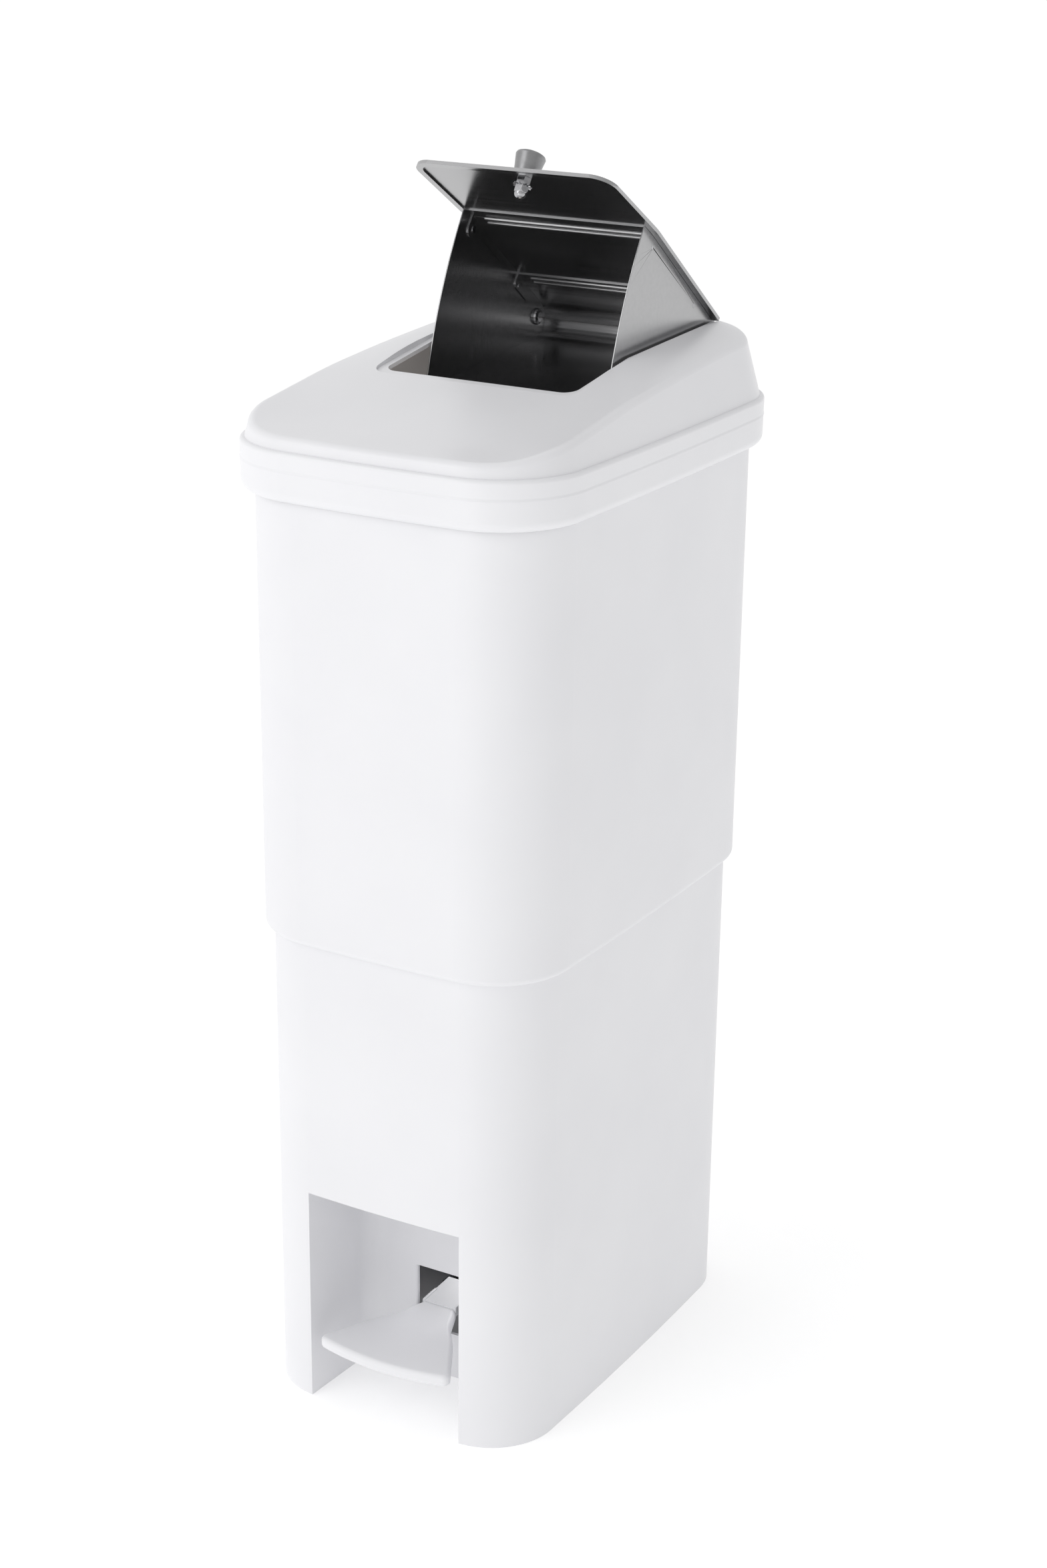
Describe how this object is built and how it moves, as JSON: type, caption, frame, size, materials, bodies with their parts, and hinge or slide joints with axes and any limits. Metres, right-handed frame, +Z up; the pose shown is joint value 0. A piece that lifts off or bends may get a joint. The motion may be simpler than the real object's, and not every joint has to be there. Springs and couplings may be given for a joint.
{
  "type": "pedal trash can",
  "caption": "Tall narrow pedal bin with drafted white shells, a domed lid and a stainless tipping flap with tray and knob, worked by a foot pedal in a toe recess.",
  "frame": {"origin": "on the floor under the middle of the body", "axes": "+X to the bin's right seen from the front, +Y to the rear, +Z up; the pedal faces -Y"},
  "size_m": [0.2304, 0.3344, 0.7899],
  "materials": {
    "white_body": "satin moulded plastic",
    "white_lid": "satin moulded plastic",
    "white_pedal": "satin moulded plastic",
    "stainless_sheet": "polished, fine grain",
    "knob_metal": "satin turned",
    "plated_fasteners": "bright zinc plate",
    "zinc_plated_steel": "dull zinc plate",
    "nylon": "natural nylon",
    "grey_bucket": "moulded plastic",
    "grey_bottom": "moulded plastic",
    "black_rubber": "matt"
  },
  "bodies": {
    "body": {"base_shell": "white_body", "upper_shell": "white_body", "inner_bucket": "grey_bucket", "bottom_plate": "grey_bottom", "bottom_screws": "plated_fasteners", "rubber_feet": "black_rubber", "collar_screws": "plated_fasteners", "left_shaft_bracket": "zinc_plated_steel", "right_shaft_bracket": "zinc_plated_steel", "left_shaft_bush": "nylon", "right_shaft_bush": "nylon", "bracket_screws": "plated_fasteners", "lower_rod_guide": "nylon", "upper_rod_guide": "nylon", "lower_guide_screws": "plated_fasteners", "upper_guide_screws": "plated_fasteners"},
    "lid": {"lid": "white_lid", "left_pivot_bush": "nylon", "right_pivot_bush": "nylon"},
    "flap": {"flap_plate": "stainless_sheet", "left_cheek": "stainless_sheet", "right_cheek": "stainless_sheet", "upper_panel": "stainless_sheet", "scoop_tray": "stainless_sheet", "cheek_rivets": "plated_fasteners", "knob": "knob_metal", "knob_stud": "plated_fasteners", "clamp_nut": "plated_fasteners", "lock_washer": "plated_fasteners", "acorn_nut": "plated_fasteners", "left_pivot_bolt": "plated_fasteners", "right_pivot_bolt": "plated_fasteners", "pivot_nuts": "plated_fasteners", "flap_crank": "zinc_plated_steel", "crank_pin": "plated_fasteners", "crank_rivets": "plated_fasteners"},
    "push_rod": {"push_rod": "zinc_plated_steel", "rod_yoke": "zinc_plated_steel", "rod_clevis": "zinc_plated_steel", "clevis_pin": "plated_fasteners"},
    "pedal": {"pedal": "white_pedal", "pedal_arm": "zinc_plated_steel", "pedal_screws": "plated_fasteners", "rear_arm": "zinc_plated_steel", "cross_shaft": "zinc_plated_steel", "shaft_clips": "plated_fasteners"}
  },
  "joints": [
    {"name": "lid_lift", "type": "slide", "parent": "body", "child": "lid", "axis": [0, 0, 1], "range_m": [0, 0.07]},
    {"name": "flap_pivot", "type": "hinge", "parent": "lid", "child": "flap", "pos_m": [0, 0.14, 0.662], "axis": [1, 0, 0], "range_deg": [0, 39.5]},
    {"name": "pedal_press", "type": "hinge", "parent": "body", "child": "pedal", "pos_m": [0, 0.02, 0.052], "axis": [1, 0, 0], "range_deg": [-9.3, 0]},
    {"name": "rod_lift", "type": "slide", "parent": "body", "child": "push_rod", "axis": [0, 0, 1], "range_m": [-0.016, 0]}
  ],
  "couplings": [
    {"joint": "pedal_press", "follows": "flap_pivot", "ratio": -0.2347},
    {"joint": "rod_lift", "follows": "flap_pivot", "m_per_rad": -0.02306}
  ]
}
